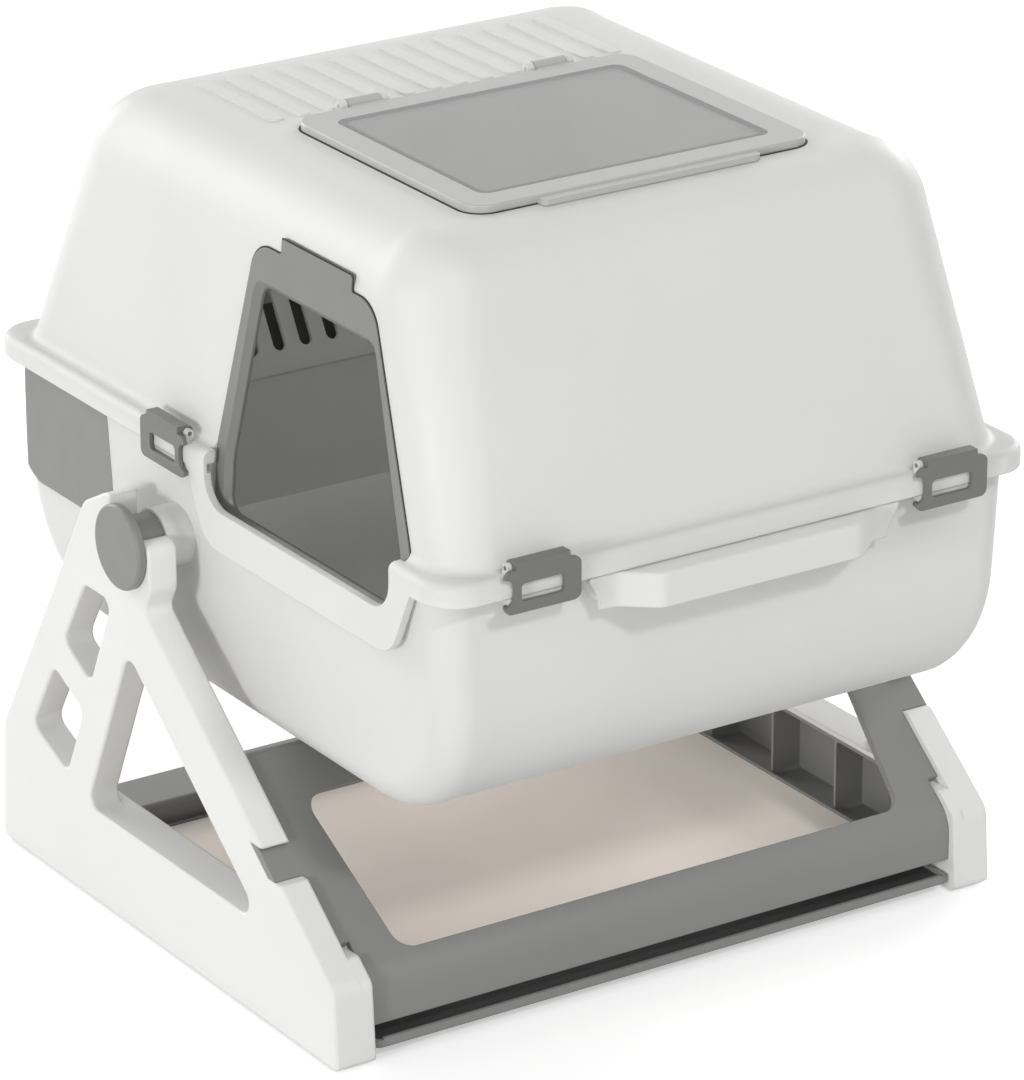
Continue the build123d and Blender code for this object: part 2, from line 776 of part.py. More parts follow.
# Space inside the pan
with BuildPart() as pan_inside:
    with BuildSketch(Plane.YZ):
        with BuildLine():
            FilletPolyline(
                (pan_front_y + pan_wall, rim_top_z),
                (pan_front_y + pan_wall, pan_bottom_z + pan_wall),
                (pan_rear_y - pan_wall, pan_bottom_z + pan_wall),
                (pan_rear_y - pan_wall, rim_top_z),
                radius=(0, pan_front_radius - pan_wall, pan_rear_radius - pan_wall, 0),
                close=True,
            )
        make_face()
    extrude(amount=rim_half_width, both=True)
    with BuildSketch(Plane.XZ):
        with BuildLine():
            Polyline(
                (pan_half_width_at(pan_bottom_z) - pan_wall, pan_bottom_z),
                (pan_half_width_at(rim_top_z) - pan_wall, rim_top_z),
                (-pan_half_width_at(rim_top_z) + pan_wall, rim_top_z),
                (-pan_half_width_at(pan_bottom_z) + pan_wall, pan_bottom_z),
                close=True,
            )
        make_face()
    extrude(amount=rim_length, both=True, mode=Mode.INTERSECT)
    fillet(
        pan_inside.edges().filter_by(
            lambda e: abs(e.center().X) > boss_inner_x - 5 and e.center().Z < rim_top_z - 1
        ),
        pan_edge_radius - pan_wall,
    )

# Lower pan
with BuildPart() as lower_pan:
    with BuildSketch(Plane.YZ):
        with BuildLine():
            FilletPolyline(
                (pan_front_y, rim_seat_z),
                (pan_front_y, pan_bottom_z),
                (pan_rear_y, pan_bottom_z),
                (pan_rear_y, rim_seat_z),
                radius=(0, pan_front_radius, pan_rear_radius, 0),
                close=True,
            )
        make_face()
    extrude(amount=rim_half_width, both=True)
    with BuildSketch(Plane.XZ):
        with BuildLine():
            Polyline(
                (pan_half_width_at(pan_bottom_z), pan_bottom_z),
                (pan_half_width_at(rim_seat_z), rim_seat_z),
                (-pan_half_width_at(rim_seat_z), rim_seat_z),
                (-pan_half_width_at(pan_bottom_z), pan_bottom_z),
                close=True,
            )
        make_face()
    extrude(amount=rim_length, both=True, mode=Mode.INTERSECT)
    fillet(
        lower_pan.edges().filter_by(
            lambda e: abs(e.center().X) > boss_inner_x - 5 and e.center().Z < rim_seat_z - 1
        ),
        pan_edge_radius,
    )
    # lip that the hood sits on
    with BuildSketch(Plane.XY.offset(rim_seat_z - lip_thickness)):
        with Locations((0, rim_middle_y)):
            RectangleRounded(
                2 * (rim_half_width - rim_skirt - lip_gap),
                rim_length - 2 * (rim_skirt + lip_gap),
                rim_corner - rim_skirt - lip_gap,
            )
    extrude(amount=lip_thickness)
    # catches that the clips hook under
    with BuildSketch(Plane.XY.offset(catch_bottom_z)):
        with Locations(
            (-front_clip_x, (rim_front_y + pan_front_y + pan_wall / 2) / 2),
            (front_clip_x, (rim_front_y + pan_front_y + pan_wall / 2) / 2),
        ):
            Rectangle(2 * catch_half_width, pan_front_y + pan_wall / 2 - rim_front_y)
        with Locations((0, side_clip_y)):
            Rectangle(2 * rim_half_width, 2 * catch_half_width)
    extrude(amount=catch_height)
    # bosses that carry the pivot knobs
    for side in sides:
        with BuildSketch(Plane.YZ.offset(side * pan_half_width_at(pivot_z - boss_radius))):
            with Locations((pivot_y, pivot_z)):
                Circle(boss_radius)
        extrude(amount=side * (boss_outer_x - pan_half_width_at(pivot_z - boss_radius)))
    # inside, with short stubs behind the bosses
    add(pan_inside.part, mode=Mode.SUBTRACT)
    for side in sides:
        with BuildSketch(Plane.YZ.offset(side * boss_inner_x)):
            with Locations((pivot_y, pivot_z)):
                Circle(boss_radius)
        extrude(amount=side * (boss_outer_x - boss_inner_x))
    with BuildSketch(Plane.YZ):
        with Locations((pivot_y, pivot_z)):
            Circle(pivot_screw_radius)
    extrude(amount=boss_outer_x, both=True, mode=Mode.SUBTRACT)
    # holes for the handle's pegs
    with BuildSketch(Plane.XZ.offset(-pan_front_y)):
        with Locations((-peg_x, peg_z), (peg_x, peg_z)):
            Circle(peg_radius + fit_gap)
    extrude(amount=-pan_wall, mode=Mode.SUBTRACT)
    # bay for the waste drawer, with its deck and bulkhead
    with BuildSketch(Plane.YZ):
        with Locations(((bay_front_y + rim_rear_y) / 2, (bay_bottom_z + bay_top_z) / 2)):
            Rectangle(rim_rear_y - bay_front_y, bay_top_z - bay_bottom_z)
    extrude(amount=rim_half_width, both=True, mode=Mode.SUBTRACT)
    with BuildSketch(Plane.XY.offset(bay_bottom_z - deck_wall)):
        with BuildLine():
            FilletPolyline(
                (-pan_half_width_at(bay_bottom_z) + pan_wall / 2, bay_front_y - deck_wall),
                (pan_half_width_at(bay_bottom_z) - pan_wall / 2, bay_front_y - deck_wall),
                (pan_half_width_at(bay_bottom_z) - pan_wall / 2, pan_rear_y - pan_wall / 2),
                (-pan_half_width_at(bay_bottom_z) + pan_wall / 2, pan_rear_y - pan_wall / 2),
                radius=(0, 0, pan_edge_radius - pan_wall / 2, pan_edge_radius - pan_wall / 2),
                close=True,
            )
        make_face()
    extrude(amount=deck_wall)
    with BuildSketch(Plane.XZ.offset(-bay_front_y)):
        with BuildLine():
            Polyline(
                (pan_half_width_at(bay_bottom_z) - pan_wall / 2, bay_bottom_z - deck_wall),
                (pan_half_width_at(bay_top_z) - pan_wall / 2, bay_top_z),
                (-pan_half_width_at(bay_top_z) + pan_wall / 2, bay_top_z),
                (-pan_half_width_at(bay_bottom_z) + pan_wall / 2, bay_bottom_z - deck_wall),
                close=True,
            )
        make_face()
    extrude(amount=deck_wall)
    # low side for the entrance
    with BuildSketch(Plane.YZ.offset(-rim_half_width)):
        with BuildLine():
            FilletPolyline(
                (entrance_y - notch_half_width, rim_top_z),
                (entrance_y - notch_half_width, notch_bottom_z),
                (entrance_y + notch_half_width, notch_bottom_z),
                (entrance_y + notch_half_width, rim_top_z),
                radius=(0, notch_corner, notch_corner, 0),
                close=True,
            )
        make_face()
    extrude(amount=rim_half_width / 4, mode=Mode.SUBTRACT)

# Handle: a plate on the pan's front wall with a grip that is open below
handle_plate_y = pan_front_y - handle_plate_proud
handle_bottom_z = handle_top_z - handle_height
with BuildPart() as pan_handle:
    with BuildSketch(Plane.XY.offset(handle_bottom_z)):
        with BuildLine():
            FilletPolyline(
                (-handle_plate_half_width + handle_plate_slant, handle_plate_y + handle_wall),
                (-handle_plate_half_width + handle_plate_slant, handle_plate_y),
                (-handle_ramp_half_width, handle_plate_y),
                (-handle_half_width, handle_front_y),
                (handle_half_width, handle_front_y),
                (handle_ramp_half_width, handle_plate_y),
                (handle_plate_half_width - handle_plate_slant, handle_plate_y),
                (handle_plate_half_width - handle_plate_slant, handle_plate_y + handle_wall),
                radius=(0, 0, handle_ramp_radius, handle_corner, handle_corner, handle_ramp_radius, 0, 0),
                close=True,
            )
        make_face()
    extrude(amount=handle_height)
    fillet(
        pan_handle.edges().filter_by(
            lambda e: e.center().Z > handle_top_z - 0.01 and e.center().Y < handle_plate_y - 0.5
        ),
        handle_edge_radius,
    )
    with BuildSketch(Plane.XY.offset(handle_bottom_z)):
        with BuildLine():
            FilletPolyline(
                (-handle_ramp_half_width + handle_wall, handle_plate_y),
                (-handle_half_width + handle_wall, handle_front_y + handle_wall),
                (handle_half_width - handle_wall, handle_front_y + handle_wall),
                (handle_ramp_half_width - handle_wall, handle_plate_y),
                radius=(0, handle_corner - handle_wall, handle_corner - handle_wall, 0),
                close=True,
            )
        make_face()
    extrude(amount=handle_height - handle_wall, mode=Mode.SUBTRACT)
    with BuildSketch(Plane.XZ.offset(-pan_front_y + fit_gap)):
        with BuildLine():
            FilletPolyline(
                (-handle_plate_half_width + handle_plate_slant, handle_top_z - handle_plate_height),
                (handle_plate_half_width - handle_plate_slant, handle_top_z - handle_plate_height),
                (handle_plate_half_width, handle_top_z),
                (-handle_plate_half_width, handle_top_z),
                radius=(5, 5, 2, 2),
                close=True,
            )
        make_face()
    extrude(amount=handle_plate_proud - fit_gap)
    # pegs that hold it in the pan's wall
    with BuildSketch(Plane.XZ.offset(-pan_front_y + fit_gap)):
        with Locations((-peg_x, peg_z), (peg_x, peg_z)):
            Circle(peg_radius)
    extrude(amount=-pan_wall)

# Space inside the hood
with BuildPart() as hood_inside:
    with BuildSketch(Plane.XY.offset(rim_seat_z)):
        with Locations((0, hood_foot_middle_y)):
            RectangleRounded(
                2 * (hood_foot_half_width - hood_wall),
                hood_foot_length - 2 * hood_wall,
                hood_foot_corner - hood_wall,
            )
    with BuildSketch(Plane.XY.offset(hood_roof_z - hood_wall)):
        with Locations((0, hood_roof_middle_y)):
            RectangleRounded(
                2 * (hood_roof_half_width - hood_wall),
                hood_roof_length - 2 * hood_wall,
                hood_roof_corner - hood_wall,
            )
    loft(ruled=True)
    fillet(hood_inside.faces().sort_by(Axis.Z)[-1].edges(), hood_edge_radius - hood_wall)
    # room for the pan's lip below the seat
    with BuildSketch(Plane.XY.offset(rim_bottom_z)):
        with Locations((0, rim_middle_y)):
            RectangleRounded(
                2 * (rim_half_width - rim_skirt), rim_length - 2 * rim_skirt, rim_corner - rim_skirt
            )
    extrude(amount=rim_seat_z - rim_bottom_z)


def entrance_points(grow):
    """Outline of the entrance frame on the hood's side wall, grown by a clearance."""
    half = entrance_half_width + grow
    top_front = entrance_top_half_width - entrance_top_shift + grow
    top_rear = -entrance_top_half_width - entrance_top_shift - grow
    tab_front = entrance_tab_half_width - entrance_tab_shift + grow
    tab_rear = -entrance_tab_half_width - entrance_tab_shift - grow
    return (
        (-half, up_wall(entrance_foot_z) - grow),
        (half, up_wall(entrance_foot_z) - grow),
        (half, up_wall(entrance_knee_z)),
        (top_front, up_wall(entrance_top_z) + grow),
        (tab_front, up_wall(entrance_top_z) + grow),
        (tab_front, up_wall(entrance_tab_top_z) + grow),
        (tab_rear, up_wall(entrance_tab_top_z) + grow),
        (tab_rear, up_wall(entrance_top_z) + grow),
        (top_rear, up_wall(entrance_top_z) + grow),
        (-half, up_wall(entrance_knee_z)),
    )


entrance_radii = (
    entrance_foot_corner,
    entrance_foot_corner,
    entrance_bend_radius,
    entrance_top_corner,
    2.0,
    2.0,
    2.0,
    2.0,
    entrance_top_corner,
    entrance_bend_radius,
)

# Hood
with BuildPart() as hood:
    with BuildSketch(Plane.XY.offset(rim_seat_z)):
        with Locations((0, hood_foot_middle_y)):
            RectangleRounded(2 * hood_foot_half_width, hood_foot_length, hood_foot_corner)
    with BuildSketch(Plane.XY.offset(hood_roof_z)):
        with Locations((0, hood_roof_middle_y)):
            RectangleRounded(2 * hood_roof_half_width, hood_roof_length, hood_roof_corner)
    loft(ruled=True)
    fillet(hood.faces().sort_by(Axis.Z)[-1].edges(), hood_edge_radius)
    # raised ribs on the rear of the roof
    with BuildSketch(Plane.XY.offset(hood_roof_z - hood_wall / 2)):
        with Locations((0, (rib_front_y + rib_rear_y) / 2)):
            with GridLocations(rib_pitch, rib_rear_y - rib_front_y, rib_count, 1):
                RectangleRounded(rib_width, rib_rear_y - rib_front_y, rib_width / 3)
    extrude(amount=hood_wall / 2 + rib_height)
    # flange with its skirt
    with BuildSketch(Plane.XY.offset(rim_bottom_z)):
        with Locations((0, rim_middle_y)):
            RectangleRounded(2 * rim_half_width, rim_length, rim_corner)
    extrude(amount=rim_top_z - rim_bottom_z)
    fillet(
        hood.edges().filter_by(
            lambda e: abs(e.center().Z - rim_top_z) < 0.01
            and (
                abs(e.center().X) > hood_foot_half_width + rim_root_radius
                or e.center().Y > hood_foot_rear_y + 2
                or e.center().Y < hood_foot_front_y - 2
            )
        ),
        rim_edge_radius,
    )
    fillet(
        hood.edges().filter_by(
            lambda e: abs(e.center().Z - rim_top_z) < 0.01
            and abs(e.center().X) < hood_foot_half_width
            and hood_foot_front_y < e.center().Y < hood_foot_rear_y
        ),
        rim_root_radius,
    )
    # apron round the foot of the entrance
    with BuildSketch(Plane.YZ.offset(-rim_half_width)):
        with BuildLine():
            FilletPolyline(
                (entrance_y - apron_half_width, rim_seat_z),
                (entrance_y - apron_foot_half_width, apron_bottom_z),
                (entrance_y + apron_foot_half_width, apron_bottom_z),
                (entrance_y + apron_half_width, rim_seat_z),
                radius=(0, apron_corner, apron_corner, 0),
                close=True,
            )
        make_face()
    extrude(amount=apron_thickness)
    add(hood_inside.part, mode=Mode.SUBTRACT)
    # entrance
    with BuildSketch(entrance_plane.offset(entrance_cut_out)):
        with BuildLine():
            FilletPolyline(*entrance_points(fit_gap), radius=entrance_radii, close=True)
        make_face()
    extrude(amount=-entrance_cut_out - 6 * hood_wall, mode=Mode.SUBTRACT)
    with BuildSketch(Plane.YZ.offset(-rim_half_width)):
        with BuildLine():
            FilletPolyline(
                (entrance_y - apron_opening_half_width, rim_top_z + rim_root_radius),
                (entrance_y - apron_opening_half_width, apron_opening_z),
                (entrance_y + apron_opening_half_width, apron_opening_z),
                (entrance_y + apron_opening_half_width, rim_top_z + rim_root_radius),
                radius=(0, apron_opening_corner, apron_opening_corner, 0),
                close=True,
            )
        make_face()
    extrude(amount=rim_half_width / 8, mode=Mode.SUBTRACT)
    # skylight opening
    with BuildSketch(Plane.XY.offset(hood_roof_z)):
        with Locations((0, sky_middle_y)):
            RectangleRounded(
                2 * (sky_half_width - sky_seat_band), sky_length - 2 * sky_seat_band, sky_inner_corner
            )
    extrude(amount=2 * hood_wall, both=True, mode=Mode.SUBTRACT)
    # ears for the skylight's hinge pins
    for side in sides:
        for end in sides:
            with BuildSketch(Plane.YZ.offset(side * hinge_x + end * hinge_ear_x)):
                with Locations((hinge_y, hinge_z)):
                    Circle(hinge_ear_radius)
                with Locations((hinge_y, (hinge_z + hood_roof_z - hood_wall / 2) / 2)):
                    Rectangle(2 * hinge_ear_radius, hinge_z - hood_roof_z + hood_wall / 2)
                with Locations((hinge_y, hinge_z)):
                    Circle(hinge_pin_radius, mode=Mode.SUBTRACT)
            extrude(amount=hinge_ear_width / 2, both=True)
    # ears for the clips' pins
    for axis in clip_axes:
        for end in sides:
            with BuildSketch(axis.offset(end * clip_ear_offset)):
                Circle(clip_ear_radius)
                with Locations((0, (rim_seat_z + rim_edge_radius / 2 - clip_axis_z) / 2)):
                    Rectangle(2 * clip_ear_radius, clip_axis_z - rim_seat_z - rim_edge_radius / 2)
                Circle(clip_pin_radius, mode=Mode.SUBTRACT)
            extrude(amount=clip_ear_width / 2, both=True)



def entrance_inner_points(grow):
    """Outline of the opening inside the entrance frame, grown by the funnel."""
    half = entrance_inner_half_width + grow
    top = entrance_inner_top_half_width + grow
    return (
        (-half, up_wall(entrance_inner_foot_z) - grow),
        (half, up_wall(entrance_inner_foot_z) - grow),
        (half, up_wall(entrance_inner_knee_z)),
        (top - entrance_inner_top_shift, up_wall(entrance_inner_top_z) + grow),
        (-top - entrance_inner_top_shift, up_wall(entrance_inner_top_z) + grow),
        (-half, up_wall(entrance_inner_knee_z)),
    )


entrance_inner_radii = (
    entrance_inner_corner,
    entrance_inner_corner,
    entrance_inner_bend_radius,
    entrance_inner_corner,
    entrance_inner_corner,
    entrance_inner_bend_radius,
)

# Entrance frame
with BuildPart() as entrance_frame:
    with BuildSketch(entrance_plane.offset(entrance_frame_proud)):
        with BuildLine():
            FilletPolyline(*entrance_points(0), radius=entrance_radii, close=True)
        make_face()
        with BuildLine():
            FilletPolyline(*entrance_inner_points(0), radius=entrance_inner_radii, close=True)
        make_face(mode=Mode.SUBTRACT)
    extrude(amount=-entrance_frame_depth)
    # funnel towards the opening
    with BuildSketch(entrance_plane.offset(entrance_frame_proud)):
        with BuildLine():
            FilletPolyline(*entrance_inner_points(entrance_funnel), radius=entrance_inner_radii, close=True)
        make_face()
    with BuildSketch(entrance_plane.offset(entrance_frame_proud - entrance_funnel)):
        with BuildLine():
            FilletPolyline(*entrance_inner_points(0), radius=entrance_inner_radii, close=True)
        make_face()
    loft(ruled=True, mode=Mode.SUBTRACT)

# Pivot knobs
with BuildPart() as left_pivot_knob:
    with BuildSketch(Plane.YZ.offset(-knob_head_x)):
        with Locations((pivot_y, pivot_z)):
            Circle(stem_radius)
    extrude(amount=knob_head_x - boss_outer_x)
    with BuildSketch(Plane.YZ.offset(-knob_head_x)):
        with Locations((pivot_y, pivot_z)):
            Circle(knob_radius)
    extrude(amount=-knob_thickness)
    fillet(left_pivot_knob.faces().sort_by(Axis.X)[0].edges(), knob_edge_radius)
    with BuildSketch(Plane.YZ.offset(-boss_outer_x)):
        with Locations((pivot_y, pivot_z)):
            Circle(pivot_screw_radius)
    extrude(amount=-(boss_inner_x + pivot_screw_length - boss_outer_x), mode=Mode.SUBTRACT)

with BuildPart() as right_pivot_knob:
    mirror(left_pivot_knob.part, about=Plane.YZ)

# Pivot screws, put in from inside the pan
with BuildPart() as pivot_screws:
    for side in sides:
        with BuildSketch(Plane.YZ.offset(side * boss_inner_x)):
            with Locations((pivot_y, pivot_z)):
                Circle(pivot_screw_radius)
        extrude(amount=side * pivot_screw_length)
        with BuildSketch(Plane.YZ.offset(side * boss_inner_x)):
            with Locations((pivot_y, pivot_z)):
                Circle(pivot_screw_head_radius)
        extrude(amount=-side * pivot_screw_head_height)

# Skylight frame with its front lip and hinge knuckles
with BuildPart() as skylight_frame:
    with BuildSketch(Plane.XY.offset(sky_bottom_z)):
        with Locations((0, sky_middle_y)):
            RectangleRounded(2 * sky_half_width, sky_length, sky_corner)
    extrude(amount=sky_frame_height)
    fillet(skylight_frame.faces().sort_by(Axis.Z)[-1].edges(), sky_frame_height / 4)
    with BuildSketch(Plane.XY.offset(sky_bottom_z)):
        with Locations((0, sky_front_y + sky_frame_band / 4 - sky_lip_reach / 2)):
            RectangleRounded(2 * sky_lip_half_width, sky_lip_reach + sky_frame_band / 2, sky_inner_corner / 2)
    extrude(amount=sky_frame_height - pane_thickness / 2)
    with BuildSketch(Plane.XY.offset(sky_top_z)):
        with Locations((0, sky_middle_y)):
            RectangleRounded(2 * sky_pane_half_width, sky_pane_length, sky_inner_corner)
    extrude(amount=-pane_thickness, mode=Mode.SUBTRACT)
    with BuildSketch(Plane.XY.offset(sky_top_z)):
        with Locations((0, sky_middle_y)):
            RectangleRounded(
                2 * (sky_pane_half_width - pane_seat), sky_pane_length - 2 * pane_seat, sky_inner_corner - 3
            )
    extrude(amount=-sky_frame_height, mode=Mode.SUBTRACT)
    for side in sides:
        with BuildSketch(Plane.YZ.offset(side * hinge_x)):
            with Locations((hinge_y, hinge_z)):
                Circle(hinge_radius)
            with Locations(((sky_rear_y + hinge_y) / 2 - hinge_radius, (sky_bottom_z + sky_top_z) / 2)):
                Rectangle(hinge_y - sky_rear_y + 2 * hinge_radius, sky_frame_height)
            with Locations((hinge_y, hinge_z)):
                Circle(hinge_pin_radius + running_gap, mode=Mode.SUBTRACT)
        extrude(amount=hinge_knuckle_width / 2, both=True)

# Skylight pane
with BuildPart() as skylight_pane:
    with BuildSketch(Plane.XY.offset(sky_top_z - pane_thickness)):
        with Locations((0, sky_middle_y)):
            RectangleRounded(
                2 * (sky_pane_half_width - fit_gap), sky_pane_length - 2 * fit_gap, sky_inner_corner - fit_gap
            )
    extrude(amount=pane_thickness)

# Skylight hinge pins
with BuildPart() as skylight_hinge_pins:
    for side in sides:
        with BuildSketch(Plane.YZ.offset(side * hinge_x)):
            with Locations((hinge_y, hinge_z)):
                Circle(hinge_pin_radius)
        extrude(amount=hinge_ear_x + hinge_ear_width / 2, both=True)

# Clip pins
with BuildPart() as clip_pins:
    for axis in clip_axes:
        with BuildSketch(axis):
            Circle(clip_pin_radius)
        extrude(amount=clip_ear_offset + clip_ear_width / 2, both=True)


def clip_on(axis, scooped_end):
    """One clip in its closed place; the plane's X points outwards and its normal runs along the pin."""
    face = Plane(origin=axis.origin, x_dir=axis.z_dir, z_dir=axis.x_dir)
    with BuildPart() as clip:
        with BuildSketch(face.offset(clip_back)):
            with Locations((0, clip_drop / 2)):
                RectangleRounded(clip_width, clip_drop, clip_corner)
            with Locations((0, clip_window_drop)):
                RectangleRounded(
                    clip_window_width, clip_window_height, clip_window_height / 4, mode=Mode.SUBTRACT
                )
            with Locations((scooped_end * clip_width / 2, clip_drop / 2)):
                RectangleRounded(
                    2 * clip_scoop, clip_drop - 2 * clip_prong, clip_scoop - fit_gap, mode=Mode.SUBTRACT
                )
        extrude(amount=clip_plate)
        # hook under the catch
        with BuildSketch(axis):
            with Locations((clip_face - clip_hook_reach / 2 - clip_plate / 2, -clip_hook_top - clip_plate / 2)):
                Rectangle(clip_hook_reach + clip_plate, clip_plate)
        extrude(amount=clip_width / 2 - clip_corner, both=True)
        # barrel round the pin
        with BuildSketch(axis):
            Circle(clip_barrel_radius)
            with Locations((clip_face / 2, clip_barrel_radius / 4)):
                Rectangle(clip_face, clip_barrel_radius * 3 / 2)
            Circle(clip_pin_radius + running_gap, mode=Mode.SUBTRACT)
        extrude(amount=clip_barrel_width / 2, both=True)
    return clip


front_left_clip = clip_on(front_left_axis, 1)
front_right_clip = clip_on(front_right_axis, 1)
left_clip = clip_on(left_axis, -1)
right_clip = clip_on(right_axis, 1)

# Space inside the waste drawer
with BuildPart() as drawer_inside:
    with BuildSketch(Plane.YZ):
        with BuildLine():
            FilletPolyline(
                (drawer_front_y + drawer_wall, rim_seat_z),
                (drawer_front_y + drawer_wall, drawer_bottom_z + drawer_wall),
                (pan_rear_y - drawer_wall, drawer_bottom_z + drawer_wall),
                (pan_rear_y - drawer_wall, rim_seat_z),
                radius=(0, 4, drawer_bottom_radius - drawer_wall, 0),
                close=True,
            )
        make_face()
    extrude(amount=rim_half_width, both=True)
    with BuildSketch(Plane.XZ):
        with BuildLine():
            Polyline(
                (pan_half_width_at(drawer_bottom_z) - drawer_wall, drawer_bottom_z),
                (pan_half_width_at(rim_seat_z) - drawer_wall, rim_seat_z),
                (-pan_half_width_at(rim_seat_z) + drawer_wall, rim_seat_z),
                (-pan_half_width_at(drawer_bottom_z) + drawer_wall, drawer_bottom_z),
                close=True,
            )
        make_face()
    extrude(amount=rim_length, both=True, mode=Mode.INTERSECT)
    with BuildSketch(Plane.XY.offset(drawer_bottom_z)):
        with BuildLine():
            FilletPolyline(
                (-drawer_half_width + drawer_wall, drawer_front_y),
                (drawer_half_width - drawer_wall, drawer_front_y),
                (drawer_half_width - drawer_wall, pan_rear_y - drawer_wall),
                (-drawer_half_width + drawer_wall, pan_rear_y - drawer_wall),
                radius=(0, 0, drawer_corner - drawer_wall, drawer_corner - drawer_wall),
                close=True,
            )
        make_face()
    extrude(amount=rim_seat_z - drawer_bottom_z, mode=Mode.INTERSECT)

# Waste drawer, which pulls out to the rear
with BuildPart() as waste_drawer:
    with BuildSketch(Plane.YZ):
        with BuildLine():
            FilletPolyline(
                (drawer_front_y, drawer_top_z),
                (drawer_front_y, drawer_bottom_z),
                (pan_rear_y, drawer_bottom_z),
                (pan_rear_y, drawer_top_z),
                radius=(0, 6, drawer_bottom_radius, 0),
                close=True,
            )
        make_face()
    extrude(amount=rim_half_width, both=True)
    with BuildSketch(Plane.XZ):
        with BuildLine():
            Polyline(
                (pan_half_width_at(drawer_bottom_z), drawer_bottom_z),
                (pan_half_width_at(drawer_top_z), drawer_top_z),
                (-pan_half_width_at(drawer_top_z), drawer_top_z),
                (-pan_half_width_at(drawer_bottom_z), drawer_bottom_z),
                close=True,
            )
        make_face()
    extrude(amount=rim_length, both=True, mode=Mode.INTERSECT)
    with BuildSketch(Plane.XY.offset(drawer_bottom_z)):
        with BuildLine():
            FilletPolyline(
                (-drawer_half_width, drawer_front_y),
                (drawer_half_width, drawer_front_y),
                (drawer_half_width, pan_rear_y),
                (-drawer_half_width, pan_rear_y),
                radius=(0, 0, drawer_corner, drawer_corner),
                close=True,
            )
        make_face()
    extrude(amount=drawer_top_z - drawer_bottom_z, mode=Mode.INTERSECT)
    add(drawer_inside.part, mode=Mode.SUBTRACT)
    # finger grip along the top of the rear wall
    with BuildSketch(Plane.YZ):
        with BuildLine():
            Polyline(
                (pan_rear_y - drawer_wall, drawer_top_z),
                (pan_rear_y + drawer_grip_reach, drawer_top_z),
                (pan_rear_y + drawer_grip_reach, drawer_top_z - drawer_grip_drop),
                (pan_rear_y + drawer_grip_reach - drawer_wall, drawer_top_z - drawer_grip_drop),
                (pan_rear_y + drawer_grip_reach - drawer_wall, drawer_top_z - drawer_wall),
                (pan_rear_y - drawer_wall, drawer_top_z - drawer_wall),
                close=True,
            )
        make_face()
    extrude(amount=drawer_grip_half_width, both=True)

# Sifting grate: it stands on the bulkhead and leans back over the waste drawer
grate_angle = atan2(grate_rise, grate_lean)
grate_foot_y = bay_front_y - deck_wall
grate_plane = Plane(
    origin=(0, grate_foot_y + grate_lean / 2, bay_top_z + grate_rise / 2),
    x_dir=(1, 0, 0),
    z_dir=(0, -sin(grate_angle), cos(grate_angle)),
)
with BuildPart() as sifting_grate:
    with BuildSketch(Plane.YZ):
        with BuildLine():
            Polyline(
                (grate_foot_y, bay_top_z),
                (grate_foot_y + grate_foot, bay_top_z),
                (grate_foot_y + grate_foot, bay_top_z + grate_thickness),
                (
                    grate_foot_y + grate_thickness / sin(grate_angle) + grate_thickness * cos(grate_angle),
                    bay_top_z + grate_thickness,
                ),
                (grate_foot_y + grate_lean + grate_thickness / sin(grate_angle), bay_top_z + grate_rise),
                (grate_foot_y + grate_lean, bay_top_z + grate_rise),
                close=True,
            )
        make_face()
    extrude(amount=grate_half_width, both=True)
    with BuildSketch(grate_plane):
        with GridLocations(grate_slot_pitch, grate_row_pitch, grate_slot_count, 2):
            SlotOverall(grate_slot_length, grate_slot_width, rotation=90)
    extrude(amount=3 * grate_thickness, both=True, mode=Mode.SUBTRACT)

finish(left_side_frame, "left_side_frame")
finish(right_side_frame, "right_side_frame")
finish(front_panel, "front_panel")
finish(rear_crossbar, "rear_crossbar")
finish(left_side_liner, "left_side_liner")
finish(right_side_liner, "right_side_liner")
finish(frame_screws, "frame_screws")
finish(foot_pads, "foot_pads")
finish(rest_pads, "rest_pads")
finish(base_tray, "base_tray")
finish(floor_mat, "floor_mat")
finish(lower_pan, "lower_pan")
finish(pan_handle, "pan_handle")
finish(hood, "hood")
finish(entrance_frame, "entrance_frame")
finish(left_pivot_knob, "left_pivot_knob")
finish(right_pivot_knob, "right_pivot_knob")
finish(pivot_screws, "pivot_screws")
finish(skylight_frame, "skylight_frame")
finish(skylight_pane, "skylight_pane")
finish(skylight_hinge_pins, "skylight_hinge_pins")
finish(clip_pins, "clip_pins")
finish(front_left_clip, "front_left_clip")
finish(front_right_clip, "front_right_clip")
finish(left_clip, "left_clip")
finish(right_clip, "right_clip")
finish(waste_drawer, "waste_drawer")
finish(sifting_grate, "sifting_grate")
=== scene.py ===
"""Looks of the sifting litter box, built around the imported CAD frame."""

import math

import bpy
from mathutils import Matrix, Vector


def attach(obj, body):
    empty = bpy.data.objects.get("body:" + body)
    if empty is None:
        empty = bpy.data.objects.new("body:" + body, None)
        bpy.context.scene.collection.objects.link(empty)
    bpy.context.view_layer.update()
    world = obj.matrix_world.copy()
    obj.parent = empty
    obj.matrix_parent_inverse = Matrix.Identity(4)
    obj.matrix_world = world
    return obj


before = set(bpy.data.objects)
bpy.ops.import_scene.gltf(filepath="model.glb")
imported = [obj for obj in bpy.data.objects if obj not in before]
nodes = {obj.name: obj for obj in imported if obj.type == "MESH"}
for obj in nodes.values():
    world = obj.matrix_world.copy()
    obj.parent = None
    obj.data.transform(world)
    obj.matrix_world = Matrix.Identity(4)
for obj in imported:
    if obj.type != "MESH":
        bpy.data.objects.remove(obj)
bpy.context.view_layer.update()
scene = bpy.context.scene

